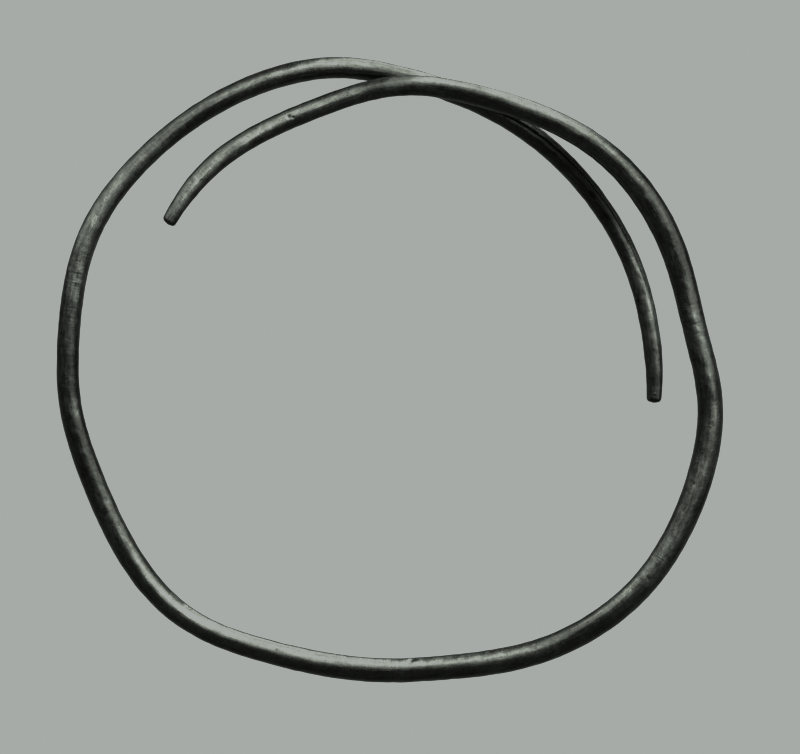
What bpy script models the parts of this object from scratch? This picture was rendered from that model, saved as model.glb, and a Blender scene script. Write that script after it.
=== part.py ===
"""Penannular bracelet: one round metal bar, bent by hand into a hoop of nearly one and a half turns.

The frame is +Z up in metres. The bracelet lies on the plane z = 0, with its footprint centred on the
origin. A bearing is an angle in degrees about the middle of the hoop, 0 along +X and 90 along +Y, and it
keeps counting past 360 on the second turn. The bar starts at the end that lies underneath, on the right.
It runs round once on the surface, climbs up the right-hand side, passes over its own start and stops at
the end that lies on top, on the left.
"""

import math

import bpy
import numpy as np

# Driving sizes
HOOP_WIDTH = 0.0695  # from the middle of the bar on the left to the middle of the bar on the right
BAR_DIAMETER = 0.0028  # the bar where it is thickest, on the right-hand side
UNDER_END_DIAMETER = 0.00155  # across the blunt end that lies underneath
OVER_END_DIAMETER = 0.0015  # across the blunt end that lies on top
UNDER_TAPER_LENGTH = 0.0070  # how far back from its face the lower end narrows
OVER_TAPER_LENGTH = 0.0105  # how far back from its face the upper end narrows
END_CORNER_RADIUS = 0.00032  # the soft corner round each end face
PASSING_GAP = 0.0003  # free height between the strands where one passes over the other
OVER_END_RISE = 0.0006  # how much higher the top end springs than the strand at the crossing
CLIMB_ARC = 180.0  # degrees of the hoop over which the bar climbs to the crossing

# Fineness of the solid
STATION_SPACING = 0.0020  # along the bar
CORNER_STATIONS = 4  # across each rounded corner of an end
SIDE_RINGS = 8  # Blender's bevel resolution
SIDES = 4 + 2 * SIDE_RINGS  # faces round the bar
MEASURING_STEPS = 8000  # points read off a curve when it is measured

# The hand-bent shape of the bar. Each row is a bearing, the distance of the bar from the middle of the
# hoop as a share of half the hoop's width, and the thickness as a share of the bar's greatest diameter.
SHAPE = [
    (-7.1, 0.828, 0.68),
    (10, 0.820, 0.705),
    (25, 0.825, 0.72),
    (40, 0.834, 0.745),
    (55, 0.851, 0.765),
    (70, 0.873, 0.78),
    (80, 0.893, 0.79),
    (90, 0.922, 0.805),
    (100, 0.957, 0.82),
    (110, 0.977, 0.83),
    (120, 0.989, 0.81),
    (132, 1.003, 0.79),
    (143, 1.018, 0.79),
    (150, 1.027, 0.815),
    (155, 1.029, 0.83),
    (161, 1.025, 0.83),
    (170, 1.012, 0.85),
    (178, 1.006, 0.845),
    (185, 1.004, 0.855),
    (193, 0.995, 0.88),
    (201, 0.988, 0.90),
    (212, 0.994, 0.92),
    (222, 1.004, 0.91),
    (228, 1.004, 0.90),
    (235, 0.991, 0.88),
    (245, 0.960, 0.89),
    (255, 0.942, 0.915),
    (270, 0.9365, 0.92),
    (280, 0.9425, 0.93),
    (290, 0.967, 0.955),
    (300, 0.998, 0.94),
    (310, 1.021, 0.95),
    (320, 1.033, 0.945),
    (330, 1.030, 0.965),
    (344, 1.019, 0.995),
    (352, 1.008, 0.98),
    (360, 0.982, 0.95),
    (366, 0.962, 0.925),
    (373, 0.954, 0.935),
    (383, 0.959, 0.975),
    (392, 0.9615, 0.985),
    (403, 0.955, 0.925),
    (415, 0.931, 0.865),
    (427, 0.905, 0.815),
    (436, 0.895, 0.78),
    (446, 0.888, 0.765),
    (456, 0.867, 0.765),
    (465, 0.847, 0.765),
    (473, 0.840, 0.76),
    (490, 0.842, 0.765),
    (506.8, 0.827, 0.76),
]

DARK_BRONZE_COLOUR = (0.050, 0.051, 0.046, 1.0)
DARK_BRONZE_ROUGHNESS = 0.38

SHAPE_BEARING, SHAPE_SHARE, SHAPE_THICKNESS = np.array(SHAPE, dtype=float).T


def smooth_curve(knots, values, at):
    """Read the natural cubic curve through the knots: slope and bend run on unbroken at every knot."""
    gaps = np.diff(knots)
    slopes = np.diff(values) / gaps
    count = len(knots)
    matrix = np.eye(count)
    target = np.zeros(count)
    for k in range(1, count - 1):
        matrix[k, k - 1:k + 2] = gaps[k - 1], 2 * (gaps[k - 1] + gaps[k]), gaps[k]
        target[k] = 6 * (slopes[k] - slopes[k - 1])
    bend = np.linalg.solve(matrix, target)
    k = np.clip(np.searchsorted(knots, at) - 1, 0, count - 2)
    ahead = knots[k + 1] - at
    behind = at - knots[k]
    cubic = (bend[k] * ahead**3 + bend[k + 1] * behind**3) / (6 * gaps[k])
    line_start = (values[k] / gaps[k] - bend[k] * gaps[k] / 6) * ahead
    line_end = (values[k + 1] / gaps[k] - bend[k + 1] * gaps[k] / 6) * behind
    return cubic + line_start + line_end


def plan_distance(bearing):
    """Distance of the middle of the bar from the middle of the hoop, seen from above."""
    return HOOP_WIDTH / 2 * smooth_curve(SHAPE_BEARING, SHAPE_SHARE, bearing)


def body_diameter(bearing):
    """Thickness of the bar before its ends are narrowed."""
    return BAR_DIAMETER * smooth_curve(SHAPE_BEARING, SHAPE_THICKNESS, bearing)


def ease(share):
    """A smooth step from 0 to 1, level at both ends."""
    share = np.clip(share, 0.0, 1.0)
    return share * share * (3 - 2 * share)


def crossing():
    """First and last bearing where the two strands overlap in plan, on the lower strand's own count."""
    bearing = np.linspace(SHAPE_BEARING[0], SHAPE_BEARING[-1] - 360, MEASURING_STEPS)
    apart = np.abs(plan_distance(bearing + 360) - plan_distance(bearing))
    touching = bearing[apart < (body_diameter(bearing + 360) + body_diameter(bearing)) / 2]
    return touching[0], touching[-1]


def lift(bearing):
    """Height of the bar's underside: none on the first turn, then enough to clear the strand below."""
    first, last = crossing()
    lower_strand = np.max(body_diameter(np.linspace(first, last, MEASURING_STEPS)))
    climb = ease((bearing - (first + 360 - CLIMB_ARC)) / CLIMB_ARC)
    spring = ease((bearing - (last + 360)) / (SHAPE_BEARING[-1] - (last + 360)))
    return climb * (lower_strand + PASSING_GAP) + spring * OVER_END_RISE


def centre_line(bearing):
    """Points along the middle of the bar, which lies on a flat side where it isn't lifted."""
    distance = plan_distance(bearing)
    angle = np.radians(bearing)
    underside_to_middle = body_diameter(bearing) / 2 * math.cos(math.pi / SIDES)
    height = underside_to_middle + lift(bearing)
    return np.column_stack((distance * np.cos(angle), distance * np.sin(angle), height))


def bar_stations():
    """Places along the bar, from its lower end: points of the centre line and the radius at each."""
    fine_bearing = np.linspace(SHAPE_BEARING[0], SHAPE_BEARING[-1], MEASURING_STEPS)
    steps = np.linalg.norm(np.diff(centre_line(fine_bearing), axis=0), axis=1)
    fine_length = np.concatenate(([0.0], np.cumsum(steps)))
    total = fine_length[-1]

    # Each end's corner is a quarter of a circle, so its places crowd towards the face.
    turn = np.linspace(0.0, math.pi / 2, CORNER_STATIONS, endpoint=False)
    corner = END_CORNER_RADIUS * (1 - np.cos(turn))
    plain_count = max(2, round((total - 2 * END_CORNER_RADIUS) / STATION_SPACING) + 1)
    plain = np.linspace(END_CORNER_RADIUS, total - END_CORNER_RADIUS, plain_count)
    length = np.concatenate((corner, plain, total - corner[::-1]))
    bearing = np.interp(length, fine_length, fine_bearing)

    diameter = body_diameter(bearing)
    from_end = (
        (length, UNDER_TAPER_LENGTH, UNDER_END_DIAMETER),
        (total - length, OVER_TAPER_LENGTH, OVER_END_DIAMETER),
    )
    for distance, taper_length, end_diameter in from_end:
        widening = np.sin(math.pi / 2 * np.clip(distance / taper_length, 0.0, 1.0))
        narrowing = (1 - widening) * (diameter - end_diameter)
        inset = np.clip(END_CORNER_RADIUS - distance, 0.0, END_CORNER_RADIUS)
        corner_cut = END_CORNER_RADIUS - np.sqrt(END_CORNER_RADIUS**2 - inset**2)
        diameter = diameter - narrowing - 2 * corner_cut
    return centre_line(bearing), diameter / 2


def centred(points, radii):
    """Slide the points sideways until the bar's footprint is centred on the origin."""
    reach = radii[:, None] * math.cos(math.pi / SIDES)
    lowest = np.min(points[:, :2] - reach, axis=0)
    highest = np.max(points[:, :2] + reach, axis=0)
    moved = points.copy()
    moved[:, :2] -= (lowest + highest) / 2
    return moved


def dark_bronze():
    """Near-black copper alloy with a soft shine."""
    material = bpy.data.materials.new("dark_bronze")
    material.use_nodes = True
    shader = material.node_tree.nodes["Principled BSDF"]
    shader.inputs["Base Color"].default_value = DARK_BRONZE_COLOUR
    shader.inputs["Metallic"].default_value = 1.0
    shader.inputs["Roughness"].default_value = DARK_BRONZE_ROUGHNESS
    return material


def make_bracelet():
    """The whole bracelet: a round section carried along the centre line, closed by flat end faces."""
    points, radii = bar_stations()
    points = centred(points, radii)

    curve = bpy.data.curves.new("bracelet", "CURVE")
    curve.dimensions = "3D"
    curve.twist_mode = "Z_UP"
    curve.bevel_depth = BAR_DIAMETER / 2
    curve.bevel_resolution = SIDE_RINGS
    curve.use_fill_caps = True
    spline = curve.splines.new("POLY")
    spline.points.add(len(points) - 1)
    spline.points.foreach_set("co", np.column_stack((points, np.ones(len(points)))).ravel())
    spline.points.foreach_set("radius", radii / curve.bevel_depth)
    spline.points.foreach_set("tilt", np.full(len(points), math.pi / SIDES))
    spline.use_smooth = True
    curve.materials.append(dark_bronze())

    bracelet = bpy.data.objects.new("bracelet", curve)
    bpy.context.scene.collection.objects.link(bracelet)


def main():
    for old in list(bpy.data.objects):
        bpy.data.objects.remove(old, do_unlink=True)
    make_bracelet()


main()
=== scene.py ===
"""Looks of the penannular bracelet: a dark bronze bar bent by hand, on a pale floor in soft studio light.

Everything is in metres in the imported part's own frame: +Z up, the floor at z = 0, the hoop centred on the
origin. A bearing is an angle in degrees about the middle of the hoop, 0 along +X and 90 along +Y, and it
counts on past 360 for the second turn. "Around" is the angle round the bar's section, 0 on top, a quarter
turn on the side away from the middle of the hoop.
"""

import math

import bpy
import numpy as np
from bpy.props import FloatProperty, FloatVectorProperty, IntProperty, PointerProperty
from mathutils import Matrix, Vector


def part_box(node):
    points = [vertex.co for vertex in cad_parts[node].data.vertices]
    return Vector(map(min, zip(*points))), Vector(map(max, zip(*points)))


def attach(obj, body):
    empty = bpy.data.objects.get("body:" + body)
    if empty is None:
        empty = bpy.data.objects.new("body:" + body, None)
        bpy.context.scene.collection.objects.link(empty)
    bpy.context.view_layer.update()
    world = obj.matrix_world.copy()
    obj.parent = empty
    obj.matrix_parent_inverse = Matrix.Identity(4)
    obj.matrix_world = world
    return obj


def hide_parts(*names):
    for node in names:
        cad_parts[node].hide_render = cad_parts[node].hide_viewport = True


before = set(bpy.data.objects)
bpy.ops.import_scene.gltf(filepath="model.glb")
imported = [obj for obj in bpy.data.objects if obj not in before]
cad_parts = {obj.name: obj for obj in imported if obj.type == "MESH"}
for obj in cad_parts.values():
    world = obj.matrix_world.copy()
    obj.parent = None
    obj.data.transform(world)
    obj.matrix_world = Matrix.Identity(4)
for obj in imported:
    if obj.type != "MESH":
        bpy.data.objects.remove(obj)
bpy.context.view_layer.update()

bl_info = {
    "name": "Penannular Bracelet",
    "version": (1, 0, 0),
    "blender": (4, 5, 0),
    "location": "3D View > Sidebar > Bracelet",
    "description": "Makes a hand-bent bronze bar bracelet with its patina, floor, light and camera",
    "category": "Add Mesh",
}

NODE = "bracelet"
SLOT = "dark_bronze"
BODY = "root"
MM = 0.001

# The hand-bent shape, as in the solid. Each row is a bearing, the distance of the bar from the middle of the
# hoop as a share of half the hoop's width, and the thickness as a share of the bar's greatest diameter.
SHAPE = [
    (-7.1, 0.828, 0.68),
    (10, 0.820, 0.705),
    (25, 0.825, 0.72),
    (40, 0.834, 0.745),
    (55, 0.851, 0.765),
    (70, 0.873, 0.78),
    (80, 0.893, 0.79),
    (90, 0.922, 0.805),
    (100, 0.957, 0.82),
    (110, 0.977, 0.83),
    (120, 0.989, 0.81),
    (132, 1.003, 0.79),
    (143, 1.018, 0.79),
    (150, 1.027, 0.815),
    (155, 1.029, 0.83),
    (161, 1.025, 0.83),
    (170, 1.012, 0.85),
    (178, 1.006, 0.845),
    (185, 1.004, 0.855),
    (193, 0.995, 0.88),
    (201, 0.988, 0.90),
    (212, 0.994, 0.92),
    (222, 1.004, 0.91),
    (228, 1.004, 0.90),
    (235, 0.991, 0.88),
    (245, 0.960, 0.89),
    (255, 0.942, 0.915),
    (270, 0.9365, 0.92),
    (280, 0.9425, 0.93),
    (290, 0.967, 0.955),
    (300, 0.998, 0.94),
    (310, 1.021, 0.95),
    (320, 1.033, 0.945),
    (330, 1.030, 0.965),
    (344, 1.019, 0.995),
    (352, 1.008, 0.98),
    (360, 0.982, 0.95),
    (366, 0.962, 0.925),
    (373, 0.954, 0.935),
    (383, 0.959, 0.975),
    (392, 0.9615, 0.985),
    (403, 0.955, 0.925),
    (415, 0.931, 0.865),
    (427, 0.905, 0.815),
    (436, 0.895, 0.78),
    (446, 0.888, 0.765),
    (456, 0.867, 0.765),
    (465, 0.847, 0.765),
    (473, 0.840, 0.76),
    (490, 0.842, 0.765),
    (506.8, 0.827, 0.76),
]
SHAPE_BEARING, SHAPE_SHARE, SHAPE_THICKNESS = np.array(SHAPE, dtype=float).T
FIRST_BEARING, LAST_BEARING = SHAPE_BEARING[0], SHAPE_BEARING[-1]

# Steps in which the crossing is looked for along the overlap.
OVERLAP_STEPS = 2000

# A raised part of the bar looks farther out than it is, and is set back. From the first bearing, and over the
# second number of degrees, that fades out, because the rows of the upper end are true distances.
UPPER_END_FROM, UPPER_END_BLEND = 430, 30

# Where hand work pressed the bar out of round. Each row is a bearing, half the length in degrees, how far the
# section is flattened as a share of its radius, and the way the flat side faces, in degrees from straight
# up, counted outwards.
PRESSED = [
    (4, 18, 0.13, -15),
    (116, 10, 0.07, -90),
    (146, 14, 0.04, 45),
    (205, 14, 0.04, 50),
    (245, 16, 0.02, -50),
    (312, 10, 0.07, 45),
    (364, 9, 0.05, -90),
    (392, 16, 0.05, -50),
    (435, 11, 0.09, -30),
    (492, 18, 0.10, 45),
]

# Where the skin is rubbed, grainy and dull, and where fine lines run across the bar. Each row is a bearing,
# half the length in degrees, and how strong it is, from 0 to 1.
WORN = [
    (-3, 6, 0.8),
    (14, 14, 0.8),
    (118, 12, 0.5),
    (146, 16, 1.0),
    (171, 10, 0.7),
    (191, 10, 0.5),
    (208, 8, 0.5),
    (300, 8, 0.5),
    (330, 16, 0.7),
    (364, 8, 0.9),
    (390, 12, 0.5),
    (448, 10, 0.6),
    (494, 16, 1.0),
]
LINED = [
    (18, 12, 0.4),
    (126, 10, 0.5),
    (146, 8, 0.4),
    (172, 13, 0.4),
    (196, 10, 0.3),
    (322, 10, 0.3),
    (367, 7, 0.8),
    (500, 9, 0.7),
]

# Painted highlight and painted shade: patches that make the skin's colour lighter where a highlight should
# show brighter and darker where it should show dimmer, in place of light. Rows near -1 or 1 paint a lighter
# or darker rim. Each row is a bearing, the place across the bar from -1 to 1, half the length and half the
# reach round the bar in degrees, and the share of painted light that is added.
PAINTED_LIGHT_PATCHES = [
    (-7, 0.45, 6, 50, -0.3),
    (-4.6, 0.45, 1.3, 50, 0.3),
    (-1.9, 0.45, 1.4, 50, -0.5),
    (4, 0.75, 12, 20, 0.8),
    (18, 0.55, 9, 50, 1.1),
    (-2, -0.4, 10, 30, -0.4),
    # Painted shadow: these two rows darken the lower strand where the upper strand shades it.
    (45, 0.2, 19, 38, -0.97),
    (53, 0.82, 15, 30, -0.9),
    (90, 0.3, 6, 50, -0.5),
    (113, 0.15, 9, 30, 0.3),
    (115, 0.75, 10, 27, -0.65),
    (133, 0.4, 9, 50, -0.35),
    (140, -0.2, 9, 30, 0.35),
    (151, -0.15, 6, 30, 0.45),
    (151, 0.5, 6, 20, 0.4),
    (160, 0.0, 7, 50, 0.6),
    (166, -0.95, 12, 22, 0.6),
    (187, -0.45, 2, 25, 0.9),
    (189, -0.4, 18, 50, -0.6),
    (205, -0.95, 10, 22, 0.8),
    (226, -0.45, 10, 50, 0.6),
    (271, -0.1, 10, 20, -0.4),
    (271, -0.8, 9, 20, 0.3),
    (275, -0.45, 6, 50, 0.3),
    (292, -0.4, 7, 50, 0.2),
    (304, -0.4, 5, 50, -0.3),
    (320, -0.1, 7, 50, 0.5),
    (328, 0.95, 5, 20, 0.6),
    (329, -0.1, 5, 30, 0.3),
    (332, -0.75, 8, 30, -0.4),
    (332, 0.5, 8, 30, -0.3),
    (334, 0.0, 9, 40, 1.0),
    (347, 0.25, 8, 40, 1.4),
    (354, 0.25, 5, 40, 0.2),
    (358, -0.3, 14, 30, -0.3),
    (364, 0.3, 5, 50, 0.15),
    (390, 0.45, 15, 50, -0.5),
    (405, 0.95, 14, 22, -1.0),
    (412, 0.1, 9, 25, -0.5),
    (429, 0.45, 9, 50, -0.25),
    (439, 0.1, 7, 18, -0.4),
    (440, 0.97, 9, 18, -0.9),
    (450, 0.4, 6, 50, -0.5),
    (456, -0.95, 14, 18, -0.5),
    (459, 0.55, 7, 25, -0.3),
    (462, -0.2, 6, 30, 0.9),
    (476, 0.1, 9, 40, 0.35),
    (476, 0.75, 16, 20, -0.25),
    (478, 0.95, 26, 18, -0.4),
    (497, -0.3, 8, 25, 0.6),
    (500, -0.95, 7, 18, -0.5),
    (500, 0.1, 8, 50, 0.5),
]

# The studio's soft panels, all facing the bracelet. Each row is a name, the bearing it stands at and its
# angle from straight up in degrees, its width, height and distance in metres, and its brightness. The last
# two stand under the floor, which lets them through, for the light that a lit floor throws back up.
PANELS = [
    ("window_panel", 75, 76, 0.32, 0.66, 0.45, 3.2),
    ("left_panel", 135, 80, 0.20, 0.18, 0.20, 0.9),
    ("right_panel", 50, 55, 1.50, 1.10, 0.90, 1.3),
    ("top_left_panel", 120, 45, 0.14, 0.24, 0.22, 1.6),
    ("top_right_panel", 45, 37, 0.50, 0.80, 0.80, 1.3),
    ("floor_glow_panel", 71, 119, 0.30, 0.28, 0.60, 2.6),
    ("floor_fill_panel", 0, 180, 3.00, 3.00, 0.50, 0.05),
]

# How a print sets down light, as rows of light and tone: a little steeper in its middle tones, and never
# lighter than its paper. The three shares are the paper's own tint in red, green and blue.
PRINT_CURVE = [
    (0.15, 0.15),
    (0.20, 0.215),
    (0.24, 0.27),
    (0.28, 0.325),
    (0.33, 0.37),
    (0.40, 0.395),
    (0.45, 0.407),
    (1.00, 0.415),
]
PAPER_TINT = (0.938, 1.0, 0.948)

# Marks of wear that show from above. Each row is a bearing, the place across the bar from -1 on the side
# towards the middle of the hoop to 1 on the outer side, half the length along the bar and half the width
# round it in millimetres, how deep it goes in millimetres, and how much darker its skin is, from -1 to 1. A
# negative depth stands proud, and a negative darkness is lighter.
MARKS = [
    (-5.1, -0.05, 0.08, 0.14, -0.020, -0.90),
    (-5.5, -0.08, 0.08, 0.12, 0.030, 0.80),
    (4.3, 0.00, 0.12, 0.15, 0.010, 0.60),
    (2.7, 0.00, 0.12, 0.15, 0.010, 0.60),
    (471.8, 0.28, 0.23, 0.17, 0.120, 1.00),
    (471.1, 0.02, 0.15, 0.13, 0.060, 0.80),
    (507.0, 0.00, 0.45, 2.50, 0.000, 0.65),
    (472.6, 0.20, 0.10, 0.08, -0.030, -0.50),
    (274.4, -0.84, 0.35, 0.15, 0.090, 1.00),
    (228.9, -0.20, 0.18, 0.10, -0.040, -0.90),
    (186.5, -0.46, 0.30, 0.20, -0.020, -1.00),
    (187.9, -0.56, 0.30, 0.16, -0.020, -0.90),
    (190.8, -0.50, 0.22, 0.16, -0.015, -0.40),
    (181.6, 0.30, 0.07, 0.60, 0.010, -0.45),
    (175.4, -0.35, 0.06, 0.50, 0.010, -0.40),
    (171.1, -0.18, 0.08, 0.10, -0.015, -0.80),
    (169.0, -0.10, 0.05, 0.90, 0.006, 0.25),
    (164.4, -0.10, 0.05, 0.70, -0.010, -0.35),
    (162.9, 0.00, 0.05, 0.90, 0.006, 0.25),
    (321.2, 0.06, 0.20, 0.16, 0.030, 0.45),
    (320.6, 0.22, 0.14, 0.10, -0.020, -0.35),
    (325.4, 0.10, 0.07, 0.55, -0.012, -0.45),
    (334.0, 0.24, 0.22, 0.18, -0.018, -0.60),
    (303.0, -0.12, 0.16, 0.10, -0.015, -0.60),
    (368.6, 0.05, 0.10, 0.60, 0.014, 0.35),
    (369.9, 0.10, 0.25, 0.40, -0.020, -0.35),
    (366.9, 0.00, 0.07, 0.50, 0.012, 0.35),
    (406.4, 0.10, 0.22, 0.14, -0.030, -0.70),
    (403.4, -0.28, 0.10, 0.10, -0.015, -0.70),
    (490.3, -0.34, 0.13, 0.10, -0.020, -0.80),
    (195.2, -0.12, 0.12, 0.10, -0.015, -0.50),
    (207.4, 0.30, 0.10, 0.10, -0.015, -0.70),
    (339.6, -0.35, 0.22, 0.12, 0.020, 0.50),
    (142.4, -0.55, 0.12, 0.12, 0.020, 0.60),
    (79.5, 0.30, 0.14, 0.12, 0.020, 0.50),
]

# The soft flats left by the hammer: how many, and the least and the most of half their length and half their
# width in millimetres, and of their depth as a share of the usual one.
HAMMER_COUNT = 110
HAMMER_HALF_LENGTH = (1.2, 4.0)
HAMMER_HALF_WIDTH = (0.5, 1.1)
HAMMER_STRENGTH = (0.3, 1.6)

# The shallow waves along the bar: how many are added up, the least and the most of their length in
# millimetres, and one more than the most times that a wave runs round the bar.
RIPPLE_COUNT = 40
RIPPLE_LENGTH = (0.9, 5.0)
RIPPLE_TURNS = 6

# Noise patterns that are stretched to follow the bar. Each row is a name, how close the pattern is along the
# bar and across it, in repeats to the metre, its levels of detail, and how strong the finer levels are.
PATTERNS = [
    ("mottle", 450, 700, 4.0, 0.6),
    ("speckle", 2000, 2400, 3.0, 0.6),
    ("fine_speckle", 4200, 5200, 1.0, 0.5),
    ("streaks", 500, 4200, 2.0, 0.5),
    ("scratches", 300, 12000, 2.0, 0.5),
    ("cross_lines", 5200, 700, 1.0, 0.5),
]

# How the patterns act on the skin and the floor. The first two are the shares of a pattern that show where
# the skin is plain and where it is fully lined or worn. A step holds the pattern's values between which an
# effect sets in. The last two are how much the patterns move the edge of a rubbed patch, and the sum at
# which the skin is fully rubbed.
LINES_SHOWN = (0.25, 0.7)
GRAIN_SHOWN = (0.55, 1.0)
FLECK_STEP = (0.13, 0.2)
SPECK_STEP = (0.15, 0.22)
CLOUD_STEP = (-0.3, 0.3)
RUBBED_UNEVENNESS = 1.2
FULLY_RUBBED = 1.2

# The floor and the nearest and farthest that the camera sees, in metres, and its sensor in millimetres.
FLOOR_HALF_WIDTH = 3.0
NEAREST_SEEN, FARTHEST_SEEN = 0.01, 10.0
SENSOR_WIDTH = 36.0


class BraceletBar(bpy.types.PropertyGroup):
    """Sizes of the bar, the same as in the solid, and the unevenness that hand work left on it."""

    hoop_width: FloatProperty(
        name="Hoop width", description="Between the middles of the bar, left to right",
        default=69.5 * MM, unit="LENGTH")
    bar_diameter: FloatProperty(
        name="Bar diameter", description="The bar where it is thickest", default=2.8 * MM, unit="LENGTH")
    under_end_diameter: FloatProperty(
        name="Lower end diameter", description="Across the blunt end underneath",
        default=1.55 * MM, unit="LENGTH")
    over_end_diameter: FloatProperty(
        name="Upper end diameter", description="Across the blunt end on top",
        default=1.5 * MM, unit="LENGTH")
    under_taper_length: FloatProperty(
        name="Lower taper", description="How far back the lower end narrows", default=7 * MM, unit="LENGTH")
    over_taper_length: FloatProperty(
        name="Upper taper", description="How far back the upper end narrows",
        default=10.5 * MM, unit="LENGTH")
    end_corner_radius: FloatProperty(
        name="End corner", description="Radius of the soft corner round each end face",
        default=0.45 * MM, unit="LENGTH")
    end_crown: FloatProperty(
        name="End crown", description="How far the middle of each end face bulges",
        default=0.06 * MM, unit="LENGTH")
    over_end_slant: FloatProperty(
        name="Upper end slant", description="How far the upper end's face is from square",
        default=math.radians(-5), subtype="ANGLE")
    plan_spread: FloatProperty(
        name="Plan spread", description="Share by which the skin is wider than the solid, seen from above",
        default=0.028, subtype="FACTOR")
    seen_from: FloatProperty(
        name="Seen from", description="Height from which the photograph was taken, which made the raised "
        "part of the bar look farther out", default=0.963, unit="LENGTH")
    passing_gap: FloatProperty(
        name="Passing gap", description="Free height where the bar passes over itself",
        default=0.3 * MM, unit="LENGTH")
    over_end_rise: FloatProperty(
        name="Upper end rise", description="How much higher the top end springs than the crossing",
        default=0.6 * MM, unit="LENGTH")
    climb_arc: FloatProperty(
        name="Climb arc", description="Turn over which the bar climbs to the crossing",
        default=math.radians(180), subtype="ANGLE")
    hammer_depth: FloatProperty(
        name="Hammer marks", description="Usual depth of the soft flats left by the hammer",
        default=0.018 * MM, unit="LENGTH")
    ripple_depth: FloatProperty(
        name="Ripple", description="Depth of the shallow unevenness along the bar",
        default=0.008 * MM, unit="LENGTH")
    seed: IntProperty(name="Seed", description="Picks where the hammer marks and ripples fall", default=7)


class BronzeLook(bpy.types.PropertyGroup):
    """Colours and finish of the dark bronze."""

    dark: FloatVectorProperty(
        name="Patina", description="Colour of the dark skin", subtype="COLOR", size=3,
        min=0, max=1, default=(0.079, 0.081, 0.074))
    worn: FloatVectorProperty(
        name="Worn", description="Colour where the skin is rubbed", subtype="COLOR", size=3,
        min=0, max=1, default=(0.095, 0.098, 0.090))
    gloss_roughness: FloatProperty(
        name="Smooth roughness", description="Roughness of the smooth skin", default=0.27, subtype="FACTOR")
    worn_roughness: FloatProperty(
        name="Worn roughness", description="Roughness of the rubbed and pitted skin",
        default=0.35, subtype="FACTOR")
    scratch_depth: FloatProperty(
        name="Scratches", description="Height of the fine scratches", default=0.010 * MM, unit="LENGTH")
    line_depth: FloatProperty(
        name="Cross lines", description="Height of the fine lines across the bar",
        default=0.020 * MM, unit="LENGTH")
    grain_depth: FloatProperty(
        name="Grain", description="Height of the fine grain", default=0.022 * MM, unit="LENGTH")
    pit_depth: FloatProperty(
        name="Pits", description="Depth of the pinprick pits", default=0.012 * MM, unit="LENGTH")
    tone_spread: FloatProperty(
        name="Tone spread", description="How much the patina's tone changes from spot to spot",
        default=0.9, subtype="FACTOR")
    mark_shade: FloatProperty(
        name="Mark shade", description="How much of the tone the darkest marks take away",
        default=0.9, subtype="FACTOR")
    pit_shade: FloatProperty(
        name="Pit shade", description="How much of the tone a pinprick pit takes away",
        default=0.5, subtype="FACTOR")
    speck_shade: FloatProperty(
        name="Speck shade", description="How much of the tone a fine dark speck takes away",
        default=0.45, subtype="FACTOR")
    fleck_tone: FloatProperty(
        name="Fleck tone", description="How much a light fleck adds to the tone of smooth skin",
        default=0.1, subtype="FACTOR")
    worn_fleck_tone: FloatProperty(
        name="Worn fleck tone", description="How much a light fleck adds to the tone of rubbed skin",
        default=0.5, subtype="FACTOR")
    pit_closeness: FloatProperty(
        name="Pit closeness", description="Cells to the metre, each of which may hold a pit", default=1700)
    pit_share: FloatProperty(
        name="Pit share", description="Share of the cells that hold a pit", default=0.16, subtype="FACTOR")
    pit_size: FloatProperty(
        name="Pit size", description="Half the width of a pit, as a share of its cell",
        default=0.34, subtype="FACTOR")


class StudioLook(bpy.types.PropertyGroup):
    """Floor, light and camera."""

    floor_colour: FloatVectorProperty(
        name="Floor", description="Tone that the pale floor shows", subtype="COLOR", size=3,
        min=0, max=1, default=(0.45, 0.45, 0.45))
    floor_shade: FloatProperty(
        name="Floor shade", description="Colour that the lamps light on the floor, as a share of its tone",
        default=0.06, subtype="FACTOR")
    cloud_closeness: FloatProperty(
        name="Cloud closeness", description="How close the floor's faint clouds are, in repeats to the metre",
        default=18)
    cloud_dark: FloatProperty(
        name="Darkest cloud", description="The floor's glow at its darkest, as a share of its tone",
        default=0.92, subtype="FACTOR")
    cloud_light: FloatProperty(
        name="Lightest cloud", description="The floor's glow at its lightest, as a share of its tone",
        default=1.06, subtype="FACTOR")
    light: FloatProperty(
        name="Light", description="Brightness of all the panels together", default=1.0)
    dim: FloatProperty(
        name="Dim surroundings", description="Brightness of what the bar reflects beside the panels",
        default=0.075)
    camera_distance: FloatProperty(
        name="Camera height", description="From the lens to the floor", default=0.963, unit="LENGTH")
    camera_x: FloatProperty(
        name="Camera to the right", description="From the middle of the hoop",
        default=1.133 * MM, unit="LENGTH")
    camera_y: FloatProperty(
        name="Camera to the back", description="From the middle of the hoop",
        default=-0.786 * MM, unit="LENGTH")
    view_width: FloatProperty(
        name="View width", description="Width of floor that the picture shows",
        default=86.78 * MM, unit="LENGTH")


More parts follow.
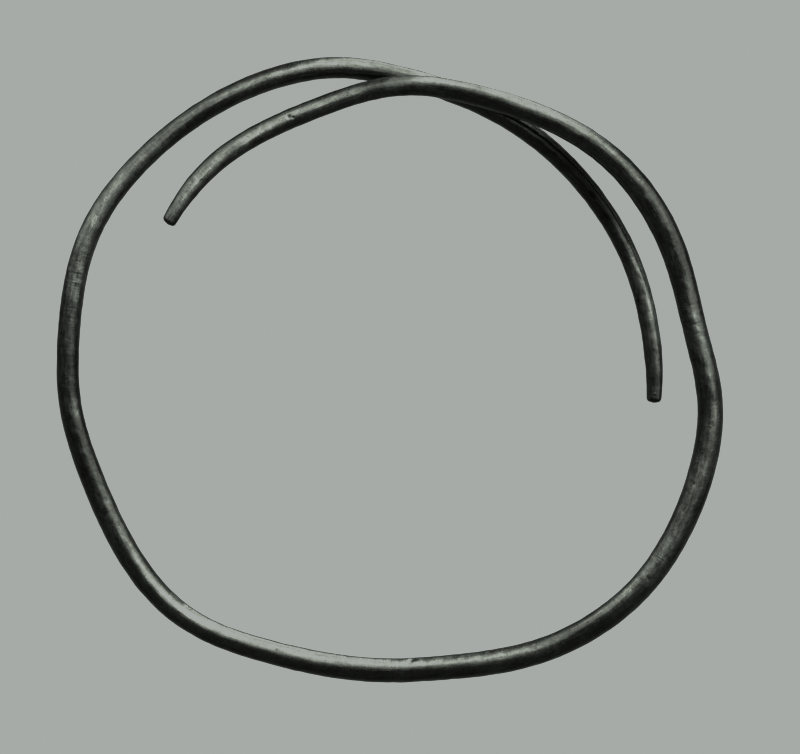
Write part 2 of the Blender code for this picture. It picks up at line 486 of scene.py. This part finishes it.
def natural_cubic(knots, values, at):
    """Read the natural cubic curve through the knots.

    Between two knots the curve is a cubic in the distances to both. Its second derivative at each knot
    comes from one linear system, which says that the slope is the same on both sides, and it is 0 at the
    two ends.
    """
    gaps = np.diff(knots)
    slopes = np.diff(values) / gaps
    count = len(knots)
    matrix = np.eye(count)
    target = np.zeros(count)
    for k in range(1, count - 1):
        matrix[k, k - 1:k + 2] = gaps[k - 1], 2 * (gaps[k - 1] + gaps[k]), gaps[k]
        target[k] = 6 * (slopes[k] - slopes[k - 1])
    bend = np.linalg.solve(matrix, target)
    k = np.clip(np.searchsorted(knots, at) - 1, 0, count - 2)
    ahead = knots[k + 1] - at
    behind = at - knots[k]
    cubic = (bend[k] * ahead**3 + bend[k + 1] * behind**3) / (6 * gaps[k])
    line_start = (values[k] / gaps[k] - bend[k] * gaps[k] / 6) * ahead
    line_end = (values[k + 1] / gaps[k] - bend[k + 1] * gaps[k] / 6) * behind
    return cubic + line_start + line_end


def ease(share):
    """A smooth step from 0 to 1, level at both ends: 3 t squared less 2 t cubed."""
    share = np.clip(share, 0.0, 1.0)
    return share * share * (3 - 2 * share)


def plan_distance(bar, bearing):
    """Distance of the middle of the bar from the middle of the hoop, seen from above."""
    return bar.hoop_width / 2 * natural_cubic(SHAPE_BEARING, SHAPE_SHARE, bearing)


def body_diameter(bar, bearing):
    """Thickness of the bar before its ends are narrowed."""
    return bar.bar_diameter * natural_cubic(SHAPE_BEARING, SHAPE_THICKNESS, bearing)


def lift(bar, bearing):
    """Height of the bar's underside: 0 on the first turn, then an eased climb over the strand below."""
    lower = np.linspace(FIRST_BEARING, LAST_BEARING - 360, OVERLAP_STEPS)
    apart = np.abs(plan_distance(bar, lower + 360) - plan_distance(bar, lower))
    overlap = lower[apart < (body_diameter(bar, lower + 360) + body_diameter(bar, lower)) / 2]
    first, last = overlap[0], overlap[-1]
    passing_height = np.max(body_diameter(bar, overlap)) + bar.passing_gap
    arc = math.degrees(bar.climb_arc)
    climb = ease((bearing - (first + 360 - arc)) / arc)
    spring = ease((bearing - (last + 360)) / (LAST_BEARING - (last + 360)))
    return climb * passing_height + spring * bar.over_end_rise


def patches_along(bearing, patches):
    """The sum of soft patches along the bar.

    A patch is its strength times exp(-d to the fourth), with d the distance from its middle in half lengths.
    """
    amount = np.zeros(len(bearing))
    for middle, half_length, strength in patches:
        amount += strength * np.exp(-(((bearing - middle) / half_length) ** 4))
    return amount


def oval(bearing):
    """Flattening of the section and the way its flat side faces.

    Each pressed place is an arrow, whose length is its flattening and whose angle is twice the flat side's,
    because a flat side that faces the opposite way is the same one. The arrows add up where places meet.
    """
    arrows = [(at, half, flat, math.radians(2 * facing)) for at, half, flat, facing in PRESSED]
    across = patches_along(bearing, [(at, half, flat * math.cos(angle)) for at, half, flat, angle in arrows])
    along = patches_along(bearing, [(at, half, flat * math.sin(angle)) for at, half, flat, angle in arrows])
    return np.hypot(across, along), np.arctan2(along, across) / 2


def oval_half_sizes(flattening, facing):
    """Half the width of the section seen from above, and half its height, as shares of its radius."""
    long_half, short_half = 1 + flattening, 1 - flattening
    half_width = np.hypot(long_half * np.cos(facing), short_half * np.sin(facing))
    half_height = np.hypot(long_half * np.sin(facing), short_half * np.cos(facing))
    return half_width, half_height


def centre_line(bar, bearing):
    """Points along the middle of the bar.

    The plan distance, less the share by which a raised part looks farther out, is turned by the bearing. The
    height is that of the bar's underside and half the height of its section, which is scaled to keep its
    width seen from above.
    """
    still_apparent = 1 - ease((bearing - UPPER_END_FROM) / UPPER_END_BLEND)
    set_back = lift(bar, bearing) / bar.seen_from * still_apparent
    distance = plan_distance(bar, bearing) * (1 - set_back)
    angle = np.radians(bearing)
    half_width, half_height = oval_half_sizes(*oval(bearing))
    height = body_diameter(bar, bearing) / 2 * half_height / half_width + lift(bar, bearing)
    return np.column_stack((distance * np.cos(angle), distance * np.sin(angle), height))


class Rings:
    """The rings of points that make the bar, from the middle of the lower end's face to the upper one's.

    Each ring has a distance along the bar, a bearing, a centre, a radius, and the directions along the bar,
    outwards and up.
    """

    # The steps in which the middle line is measured, the evenly spaced rings, the rings of an end's face and
    # of its corner, and the points of a ring.
    MEASURED = 12000
    PLAIN = 1000
    FACE = 7
    CORNER = 8
    AROUND = 64

    # The closer rings beside a mark: how far they reach and how far apart they are. Rings whose distances
    # agree to the given decimals are one ring.
    MARK_REACH = 0.5 * MM
    MARK_SPACING = 0.085 * MM
    SAME_DECIMALS = 5

    def __init__(self, bar):
        fine_bearing = np.linspace(FIRST_BEARING, LAST_BEARING, self.MEASURED)
        fine_points = centre_line(bar, fine_bearing)
        steps = np.linalg.norm(np.diff(fine_points, axis=0), axis=1)
        fine_length = np.concatenate(([0.0], np.cumsum(steps)))
        self.total = fine_length[-1]

        # An end is a face whose middle bulges by the crown, and a corner that is a quarter of a circle.
        corner = bar.end_corner_radius
        face_share = np.linspace(0.0, 1.0, self.FACE, endpoint=False)
        turn = np.linspace(0.0, math.pi / 2, self.CORNER, endpoint=False)
        end_depth = bar.end_crown + corner
        face_along = bar.end_crown * face_share**2
        corner_along = bar.end_crown + corner * (1 - np.cos(turn))
        end_along = np.concatenate((face_along, corner_along))

        # Between the ends the rings are evenly spaced, with closer ones beside each mark.
        plain = np.linspace(end_depth, self.total - end_depth, self.PLAIN)
        near_mark = np.arange(-self.MARK_REACH, self.MARK_REACH, self.MARK_SPACING)
        marked = np.interp([mark[0] for mark in MARKS], fine_bearing, fine_length)
        finer = (marked[:, None] + near_mark[None, :]).ravel()
        finer = finer[(finer > end_depth) & (finer < self.total - end_depth)]
        plain = np.unique(np.round(np.concatenate((plain, finer)), self.SAME_DECIMALS))
        self.along = np.concatenate((end_along, plain, self.total - end_along[::-1]))
        self.bearing = np.interp(self.along, fine_length, fine_bearing)

        diameter = body_diameter(bar, self.bearing)
        tapers = (
            (self.along, bar.under_taper_length, bar.under_end_diameter),
            (self.total - self.along, bar.over_taper_length, bar.over_end_diameter),
        )
        for distance, length, end_diameter in tapers:
            widening = np.sin(math.pi / 2 * np.clip(distance / length, 0.0, 1.0))
            diameter = diameter - (1 - widening) * (diameter - end_diameter)
        self.radius = diameter / 2
        rings = len(end_along)
        for end, order in ((slice(0, rings), 1), (slice(-rings, None), -1)):
            edge = self.radius[end][::order] - corner
            face = edge[:self.FACE] * face_share
            round_corner = edge[self.FACE:] + corner * np.sin(turn)
            self.radius[end] = np.concatenate((face, round_corner))[::order]

        self.centre = np.column_stack([np.interp(self.along, fine_length, c) for c in fine_points.T])
        ahead = np.gradient(fine_points, fine_length, axis=0)
        tangent = np.column_stack([np.interp(self.along, fine_length, c) for c in ahead.T])
        self.tangent = tangent / np.linalg.norm(tangent, axis=1)[:, None]
        outward = np.cross(self.tangent, (0.0, 0.0, 1.0))
        self.outward = outward / np.linalg.norm(outward, axis=1)[:, None]
        self.up = np.cross(self.outward, self.tangent)
        self.around = np.linspace(-math.pi, math.pi, self.AROUND, endpoint=False)

    def at_bearing(self, bearing):
        """Distance along the bar at a bearing."""
        return np.interp(bearing, self.bearing, self.along)


def turned_apart(around, middle):
    """Signed angle round the section from a place to every point, between minus and plus half a turn."""
    return (around - middle + math.pi) % (2 * math.pi) - math.pi


def soft_mark(rings, along, around, half_length, half_width, radius):
    """A soft-edged patch: 1 in its middle, falling as exp(-d squared), with d in half lengths and widths."""
    along_share = (rings.along[:, None] - along) / half_length
    around_share = turned_apart(rings.around[None, :], around) * radius / half_width
    return np.exp(-along_share**2 - around_share**2)


def hammer_marks(bar, rings, random):
    """Soft flats all over the bar, each the depth times a soft patch a few millimetres long."""
    relief = np.zeros((len(rings.along), rings.AROUND))
    for _ in range(HAMMER_COUNT):
        along = random.uniform(0.0, rings.total)
        around = random.uniform(-math.pi, math.pi)
        half_length = random.uniform(*HAMMER_HALF_LENGTH) * MM
        half_width = random.uniform(*HAMMER_HALF_WIDTH) * MM
        depth = bar.hammer_depth * random.uniform(*HAMMER_STRENGTH)
        relief -= depth * soft_mark(rings, along, around, half_length, half_width, bar.bar_diameter / 2)
    return relief


def ripples(bar, rings, random):
    """Shallow unevenness: a sum of waves that run along the bar and a whole number of times round it."""
    relief = np.zeros((len(rings.along), rings.AROUND))
    for _ in range(RIPPLE_COUNT):
        wave_length = random.uniform(*RIPPLE_LENGTH) * MM
        times_round = random.integers(0, RIPPLE_TURNS)
        phase = random.uniform(0.0, 2 * math.pi)
        angle = 2 * math.pi * rings.along[:, None] / wave_length + times_round * rings.around[None, :] + phase
        relief += np.cos(angle)
    return relief * bar.ripple_depth / math.sqrt(RIPPLE_COUNT / 2)


def named_marks(bar, rings):
    """The pits, nicks and bumps listed in MARKS: how far each place stands proud, and how dark it is."""
    relief = np.zeros((len(rings.along), rings.AROUND))
    darkness = np.zeros((len(rings.along), rings.AROUND))
    for bearing, across, half_length, half_width, depth, dark in MARKS:
        along = rings.at_bearing(bearing)
        radius = np.interp(along, rings.along, rings.radius)
        around = math.asin(across)
        mark = soft_mark(rings, along, around, half_length * MM, half_width * MM, radius)
        relief -= depth * MM * mark
        darkness += dark * mark
    return relief, darkness


def end_fade(bar, rings):
    """0 on the middle of each end face and 1 a bar's thickness back from it."""
    from_end = np.minimum(rings.along, rings.total - rings.along)
    return ease(from_end / bar.bar_diameter)[:, None]


def bar_surface(bar, rings):
    """Points of the bar's skin on a grid of rings by places round them.

    Point = centre + (radius + relief) * (outward * x + up * z). On a round bar x and z are the sine and
    the cosine of the angle round it. Where it is flattened they belong to an oval whose short half stands
    the way the flat side faces, scaled so that the bar keeps its width seen from above. Then x grows by the
    plan spread. The upper end's face is slanted by sliding points along the bar in proportion to how far
    outwards they are.
    """
    random = np.random.default_rng(bar.seed)
    relief = (hammer_marks(bar, rings, random) + ripples(bar, rings, random)) * end_fade(bar, rings)
    mark_relief, mark_darkness = named_marks(bar, rings)
    relief += mark_relief
    radius = np.maximum(rings.radius[:, None] + relief * (rings.radius > 0)[:, None], 0.0)
    flattening, facing = oval(rings.bearing)
    half_width, _ = oval_half_sizes(flattening, facing)
    turn = rings.around[None, :] - facing[:, None]
    long_side = (1 + flattening)[:, None] * np.sin(turn)
    short_side = (1 - flattening)[:, None] * np.cos(turn)
    sine, cosine = np.sin(facing)[:, None], np.cos(facing)[:, None]
    outwards = radius * (long_side * cosine + short_side * sine) / half_width[:, None] * (1 + bar.plan_spread)
    upwards = radius * (short_side * cosine - long_side * sine) / half_width[:, None]

    slanted_length = 2 * bar.over_end_diameter
    near_over_end = ease(1 - (rings.total - rings.along) / slanted_length)[:, None]
    slide = near_over_end * outwards * math.tan(bar.over_end_slant)

    points = (
        rings.centre[:, None, :]
        + outwards[..., None] * rings.outward[:, None, :]
        + upwards[..., None] * rings.up[:, None, :]
        + slide[..., None] * rings.tangent[:, None, :]
    )
    along_bar = np.stack((np.broadcast_to(rings.along[:, None], outwards.shape), outwards, upwards), axis=-1)
    return points, along_bar, mark_darkness


def painted_light(rings):
    """How much painted highlight and shade the skin's colour takes: the usual share, 1, times 1 and each
    patch's strength.

    A patch's strength fades along the bar as patches_along has it, and round the bar as exp(-e squared),
    with e the angle from its middle as a share of its half reach.
    """
    amount = np.ones((len(rings.along), rings.AROUND))
    for bearing, across, half_length, half_reach, strength in PAINTED_LIGHT_PATCHES:
        along_fade = patches_along(rings.bearing, [(bearing, half_length, strength)])
        apart = turned_apart(rings.around, math.asin(across))
        round_fade = np.exp(-((apart / math.radians(half_reach)) ** 2))
        amount *= 1 + along_fade[:, None] * round_fade[None, :]
    return amount


def grid_mesh(name, points, attributes):
    """A closed mesh from rings of points: quads between the rings, and a fan of triangles at each end.

    The first and the last ring have no size, so each becomes one point.
    """
    rings, around = points.shape[:2]
    keep = np.concatenate(([0], np.arange(around, (rings - 1) * around), [(rings - 1) * around]))
    number = np.arange(1, (rings - 2) * around + 1).reshape(rings - 2, around)
    beside = np.roll(number, -1, axis=1)
    last = (rings - 2) * around + 1
    quads = np.stack((number[:-1], number[1:], beside[1:], beside[:-1]), axis=-1).reshape(-1, 4)
    first_fan = np.stack((np.zeros(around, int), number[0], beside[0]), axis=-1)
    last_fan = np.stack((np.full(around, last), beside[-1], number[-1]), axis=-1)

    mesh = bpy.data.meshes.new(name)
    corners = points.reshape(-1, 3)[keep]
    mesh.from_pydata(corners.tolist(), [], quads.tolist() + first_fan.tolist() + last_fan.tolist())
    for label, (kind, field, values) in attributes.items():
        layer = mesh.attributes.new(label, kind, "POINT")
        flat = values.reshape(rings * around, -1)[keep]
        layer.data.foreach_set(field, np.ascontiguousarray(flat, dtype=np.float32).ravel())
    mesh.shade_smooth()
    mesh.validate()
    mesh.update()
    return mesh


def all_round(rings, patches):
    """Soft patches that reach all the way round the bar."""
    return np.repeat(patches_along(rings.bearing, patches)[:, None], rings.AROUND, axis=1)


class Tree:
    """Short ways to add nodes to a node tree and to join them."""

    def __init__(self, tree):
        self.tree = tree

    def add(self, kind, inputs=None, **settings):
        """A node with its settings, and its inputs set to a value or joined to a socket."""
        node = self.tree.nodes.new(kind)
        for key, value in settings.items():
            setattr(node, key, value)
        for key, value in (inputs or {}).items():
            self.put(node.inputs[key], value)
        return node

    def put(self, socket, value):
        """Join a socket to another one, or give it a plain value."""
        if isinstance(value, bpy.types.NodeSocket):
            self.tree.links.new(value, socket)
        else:
            socket.default_value = value

    def attribute(self, name, output="Fac"):
        """A value or a vector that the bar's mesh carries at its points."""
        return self.add("ShaderNodeAttribute", attribute_name=name).outputs[output]

    def group(self, node_group, inputs):
        """The value that a node group gives with its own inputs."""
        return self.add("ShaderNodeGroup", inputs, node_tree=node_group).outputs["Value"]

    def maths(self, operation, a, b):
        """The result of one sum on two numbers."""
        return self.add("ShaderNodeMath", {0: a, 1: b}, operation=operation).outputs[0]

    def total(self, value, *others):
        """The sum of several values."""
        for other in others:
            value = self.maths("ADD", value, other)
        return value

    def less(self, value, amount, share):
        """A value less the given share of it, where the amount is 1, and the whole value where it is 0."""
        kept = self.maths("SUBTRACT", 1.0, self.maths("MULTIPLY", amount, share))
        return self.maths("MULTIPLY", value, kept)

    def ramp(self, value, low, high, to_low=0.0, to_high=1.0):
        """A value carried along a smooth step from one range to another, and kept within it."""
        inputs = {"Value": value, "From Min": low, "From Max": high, "To Min": to_low, "To Max": to_high}
        return self.add("ShaderNodeMapRange", inputs, interpolation_type="SMOOTHSTEP").outputs["Result"]

    def mix_colour(self, share, a, b):
        """A colour between two others."""
        node = self.add("ShaderNodeMix", {"Factor": share}, data_type="RGBA")
        self.put(node.inputs["A"], a)
        self.put(node.inputs["B"], b)
        return node.outputs["Result"]


def new_group(name, inputs, outputs):
    """An empty shader node group with number or vector sockets, and its helper, entry and exit."""
    group = bpy.data.node_groups.new(name, "ShaderNodeTree")
    for label, kind, default in inputs:
        socket = group.interface.new_socket(label, in_out="INPUT", socket_type=kind)
        if default is not None:
            socket.default_value = default
    for label, kind in outputs:
        group.interface.new_socket(label, in_out="OUTPUT", socket_type=kind)
    tree = Tree(group)
    return group, tree, tree.add("NodeGroupInput").outputs, tree.add("NodeGroupOutput").inputs


def grain_group():
    """Stretched noise: a pattern squeezed along the three directions of its vector, as a value round 0."""
    group, tree, given, made = new_group(
        "stretched_grain",
        (("Vector", "NodeSocketVector", None), ("Stretch", "NodeSocketVector", (1, 1, 1)),
         ("Detail", "NodeSocketFloat", 3.0), ("Roughness", "NodeSocketFloat", 0.5)),
        (("Value", "NodeSocketFloat"),),
    )
    squeezed = tree.add(
        "ShaderNodeVectorMath", {0: given["Vector"], 1: given["Stretch"]}, operation="MULTIPLY")
    noise = tree.add("ShaderNodeTexNoise", {
        "Vector": squeezed.outputs[0], "Scale": 1.0,
        "Detail": given["Detail"], "Roughness": given["Roughness"]})
    tree.put(made["Value"], tree.maths("SUBTRACT", noise.outputs["Fac"], 0.5))
    return group


def pit_group():
    """Scattered round pits: 1 in the middle of each, 0 between them, only in a share of the cells."""
    group, tree, given, made = new_group(
        "scattered_pits",
        (("Vector", "NodeSocketVector", None), ("Scale", "NodeSocketFloat", 1000.0),
         ("Share", "NodeSocketFloat", 0.3), ("Size", "NodeSocketFloat", 0.35)),
        (("Value", "NodeSocketFloat"),),
    )
    cells = tree.add("ShaderNodeTexVoronoi", {"Vector": given["Vector"], "Scale": given["Scale"]})
    pit = tree.ramp(cells.outputs["Distance"], given["Size"], 0.0)
    chosen = tree.maths("LESS_THAN", cells.outputs["Color"], given["Share"])
    tree.put(made["Value"], tree.maths("MULTIPLY", pit, chosen))
    return group


def bronze_material(look, grain, pits):
    """Dark bronze: mottled skin, rubbed patches, scratches along the bar, fine lines across it and pits.

    The colour lies between smooth and rubbed skin, times a tone. The tone is 1 plus the uneven patterns, less
    the shares that marks, pits and specks take away, plus the light flecks, all times the painted highlight
    and shade of the place.
    """
    material = bpy.data.materials.new(SLOT)
    material.use_nodes = True
    tree = Tree(material.node_tree)
    shader = material.node_tree.nodes["Principled BSDF"]
    along_bar = tree.attribute("along_bar", "Vector")
    worn = tree.attribute("worn")
    pattern = {}
    for name, along, across, detail, roughness in PATTERNS:
        pattern[name] = tree.group(grain, {
            "Vector": along_bar, "Stretch": (along, across, across),
            "Detail": detail, "Roughness": roughness})
    small_pits = tree.group(pits, {
        "Vector": along_bar, "Scale": look.pit_closeness, "Share": look.pit_share, "Size": look.pit_size})
    flecks = tree.ramp(pattern["speckle"], *FLECK_STEP)
    specks = tree.ramp(pattern["fine_speckle"], *SPECK_STEP)

    lines_shown = tree.ramp(tree.attribute("lined"), 0.0, 1.0, *LINES_SHOWN)
    lines_here = tree.maths("MULTIPLY", pattern["cross_lines"], lines_shown)
    grain_shown = tree.ramp(worn, 0.0, 1.0, *GRAIN_SHOWN)
    grain_here = tree.maths("MULTIPLY", pattern["speckle"], grain_shown)
    uneven = tree.total(lines_here, pattern["speckle"], pattern["streaks"], pattern["mottle"])
    rubbed_edge = tree.maths("MULTIPLY", uneven, RUBBED_UNEVENNESS)
    rubbed = tree.ramp(tree.maths("ADD", worn, rubbed_edge), 0.0, FULLY_RUBBED)

    tone = tree.maths("ADD", 1.0, tree.maths("MULTIPLY", uneven, look.tone_spread))
    tone = tree.less(tone, tree.attribute("dark_mark"), look.mark_shade)
    tone = tree.less(tone, small_pits, look.pit_shade)
    tone = tree.less(tone, specks, look.speck_shade)
    fleck_tone = tree.ramp(worn, 0.0, 1.0, look.fleck_tone, look.worn_fleck_tone)
    tone = tree.maths("ADD", tone, tree.maths("MULTIPLY", flecks, fleck_tone))
    # Painted highlight and shade: the colour is made lighter where highlights should be brighter and darker
    # where they should be dimmer.
    tone = tree.maths("MULTIPLY", tone, tree.attribute("painted_light"))
    skin = tree.mix_colour(rubbed, (*look.dark, 1), (*look.worn, 1))
    toned = tree.add("ShaderNodeVectorMath", {0: skin, "Scale": tone}, operation="SCALE").outputs[0]
    roughness = tree.ramp(rubbed, 0.0, 1.0, look.gloss_roughness, look.worn_roughness)
    tree.put(shader.inputs["Base Color"], toned)
    tree.put(shader.inputs["Roughness"], roughness)
    shader.inputs["Metallic"].default_value = 1.0

    scratches = tree.maths("ADD", pattern["scratches"], pattern["streaks"])
    height = tree.total(
        tree.maths("MULTIPLY", scratches, look.scratch_depth),
        tree.maths("MULTIPLY", lines_here, look.line_depth),
        tree.maths("MULTIPLY", grain_here, look.grain_depth),
        tree.maths("MULTIPLY", small_pits, -look.pit_depth),
    )
    bump = tree.add("ShaderNodeBump", {"Height": height, "Strength": 1.0, "Distance": 1.0})
    tree.put(shader.inputs["Normal"], bump.outputs["Normal"])
    return material


def floor_material(look, grain):
    """A pale matt sheet that mostly glows by itself, so that the bar throws only a faint shadow."""
    material = bpy.data.materials.new("pale_sheet")
    material.use_nodes = True
    tree = Tree(material.node_tree)
    shader = material.node_tree.nodes["Principled BSDF"]
    place = tree.add("ShaderNodeTexCoord").outputs["Object"]
    cloud = tree.group(grain, {"Vector": place, "Stretch": [look.cloud_closeness] * 3})
    shaded, glow_dark, glow_light = [
        (*(c * share for c in look.floor_colour), 1)
        for share in (look.floor_shade, look.cloud_dark, look.cloud_light)
    ]
    glow = tree.mix_colour(tree.ramp(cloud, *CLOUD_STEP), glow_dark, glow_light)
    shader.inputs["Base Color"].default_value = shaded
    shader.inputs["Roughness"].default_value = 1.0
    shader.inputs["Specular IOR Level"].default_value = 0.0
    tree.put(shader.inputs["Emission Color"], glow)
    shader.inputs["Emission Strength"].default_value = 1.0
    return material


class BRACELET_OT_bar(bpy.types.Operator):
    """Make the bronze bar with its surface detail, in place of the plain solid"""

    bl_idname = "bracelet.bar"
    bl_label = "Bronze bar"

    def execute(self, context):
        settings = context.scene.bracelet_bar
        rings = Rings(settings)
        points, along_bar, dark_mark = bar_surface(settings, rings)

        # Seen from above, the skin has the same middle as the solid's box, and no point is under the floor.
        cad_low, cad_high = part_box(NODE)
        middle = (points.reshape(-1, 3).min(axis=0) + points.reshape(-1, 3).max(axis=0)) / 2
        for axis in (0, 1):
            points[..., axis] += (cad_low[axis] + cad_high[axis]) / 2 - middle[axis]
        points[..., 2] = np.maximum(points[..., 2], cad_low[2])

        mesh = grid_mesh("bronze_bar", points, {
            "along_bar": ("FLOAT_VECTOR", "vector", along_bar),
            "worn": ("FLOAT", "value", all_round(rings, WORN)),
            "lined": ("FLOAT", "value", all_round(rings, LINED)),
            # Painted highlight and shade, kept at the mesh's points for the material.
            "painted_light": ("FLOAT", "value", painted_light(rings)),
            "dark_mark": ("FLOAT", "value", dark_mark),
        })
        mesh.materials.append(bronze_material(context.scene.bracelet_bronze, grain_group(), pit_group()))
        piece = bpy.data.objects.new("bronze_bar", mesh)
        context.scene.collection.objects.link(piece)
        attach(piece, BODY)
        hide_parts(NODE)
        return {"FINISHED"}


def add_panel_light(context, name, bearing, from_top, width, height, distance, brightness):
    """A flat soft light that faces the middle. Its power is four times its area times its brightness."""
    light = bpy.data.lights.new(name, "AREA")
    light.shape = "RECTANGLE"
    light.size, light.size_y = width, height
    light.energy = 4 * width * height * brightness
    turn, tilt = math.radians(bearing), math.radians(from_top)
    towards = Vector((math.sin(tilt) * math.cos(turn), math.sin(tilt) * math.sin(turn), math.cos(tilt)))
    lamp = bpy.data.objects.new(name, light)
    lamp.location = towards * distance
    lamp.rotation_euler = towards.to_track_quat("Z", "Y").to_euler()
    lamp.visible_camera = False
    context.scene.collection.objects.link(lamp)


class BRACELET_OT_stage(bpy.types.Operator):
    """Make the pale floor, the soft lights, the dim surroundings and the camera"""

    bl_idname = "bracelet.stage"
    bl_label = "Floor, light and camera"

    def execute(self, context):
        look = context.scene.bracelet_studio
        self.make_floor(context, look)
        self.make_lights(context, look)
        self.make_surroundings(context, look)
        self.make_camera(context, look)
        self.set_print_tones(context)
        return {"FINISHED"}

    def make_floor(self, context, look):
        half = FLOOR_HALF_WIDTH
        corners = [(-half, -half, 0), (half, -half, 0), (half, half, 0), (-half, half, 0)]
        mesh = bpy.data.meshes.new("floor")
        mesh.from_pydata(corners, [], [(0, 1, 2, 3)])
        mesh.materials.append(floor_material(look, bpy.data.node_groups["stretched_grain"]))
        floor = bpy.data.objects.new("floor", mesh)
        floor.visible_glossy = False
        floor.visible_shadow = False
        context.scene.collection.objects.link(floor)

    def make_lights(self, context, look):
        for *place, brightness in PANELS:
            add_panel_light(context, *place, brightness * look.light)

    def make_surroundings(self, context, look):
        """Pale behind the object where the camera looks past the floor, and dim all round for the light."""
        world = context.scene.world or bpy.data.worlds.new("surroundings")
        context.scene.world = world
        world.use_nodes = True
        tree = Tree(world.node_tree)
        world.node_tree.nodes.clear()
        seen = tree.add("ShaderNodeLightPath").outputs["Is Camera Ray"]
        dim = [look.dim] * 3
        colour = tree.mix_colour(seen, (*dim, 1), (*look.floor_colour, 1))
        background = tree.add("ShaderNodeBackground", {"Color": colour, "Strength": 1.0})
        tree.add("ShaderNodeOutputWorld", {"Surface": background.outputs[0]})

    def make_camera(self, context, look):
        data = bpy.data.cameras.new("camera")
        data.sensor_width = SENSOR_WIDTH
        data.lens = data.sensor_width * look.camera_distance / look.view_width
        data.clip_start, data.clip_end = NEAREST_SEEN, FARTHEST_SEEN
        camera = bpy.data.objects.new("camera", data)
        camera.location = (look.camera_x, look.camera_y, look.camera_distance)
        context.scene.collection.objects.link(camera)
        context.scene.camera = camera

    def set_print_tones(self, context):
        """Carry light to the tones of a print, with straight runs between the rows of PRINT_CURVE."""
        view = context.scene.view_settings
        view.view_transform = "Standard"
        view.use_curve_mapping = True
        tones = view.curve_mapping
        tones.extend = "HORIZONTAL"
        for curve, share in zip(tones.curves[:3], PAPER_TINT):
            curve.points[-1].location = PRINT_CURVE[-1][0], PRINT_CURVE[-1][1] * share
            for light, tone in PRINT_CURVE[:-1]:
                curve.points.new(light, tone * share)
            for point in curve.points:
                point.handle_type = "VECTOR"
        tones.update()


class BRACELET_PT_sidebar(bpy.types.Panel):
    """Lists the bracelet's settings and its makers in the sidebar."""

    bl_label = "Penannular bracelet"
    bl_idname = "BRACELET_PT_sidebar"
    bl_space_type = "VIEW_3D"
    bl_region_type = "UI"
    bl_category = "Bracelet"

    def draw(self, context):
        for group, operator in (
            (context.scene.bracelet_bar, BRACELET_OT_bar),
            (context.scene.bracelet_bronze, None),
            (context.scene.bracelet_studio, BRACELET_OT_stage),
        ):
            box = self.layout.box()
            for name in group.bl_rna.properties.keys():
                if name not in ("rna_type", "name"):
                    box.prop(group, name)
            if operator:
                box.operator(operator.bl_idname)


CLASSES = (
    BraceletBar, BronzeLook, StudioLook, BRACELET_OT_bar, BRACELET_OT_stage, BRACELET_PT_sidebar,
)


def register():
    for each in CLASSES:
        bpy.utils.register_class(each)
    bpy.types.Scene.bracelet_bar = PointerProperty(type=BraceletBar)
    bpy.types.Scene.bracelet_bronze = PointerProperty(type=BronzeLook)
    bpy.types.Scene.bracelet_studio = PointerProperty(type=StudioLook)


def unregister():
    del bpy.types.Scene.bracelet_studio
    del bpy.types.Scene.bracelet_bronze
    del bpy.types.Scene.bracelet_bar
    for each in reversed(CLASSES):
        bpy.utils.unregister_class(each)


def main():
    register()
    bpy.ops.bracelet.bar()
    bpy.ops.bracelet.stage()


if __name__ == "__main__":
    main()
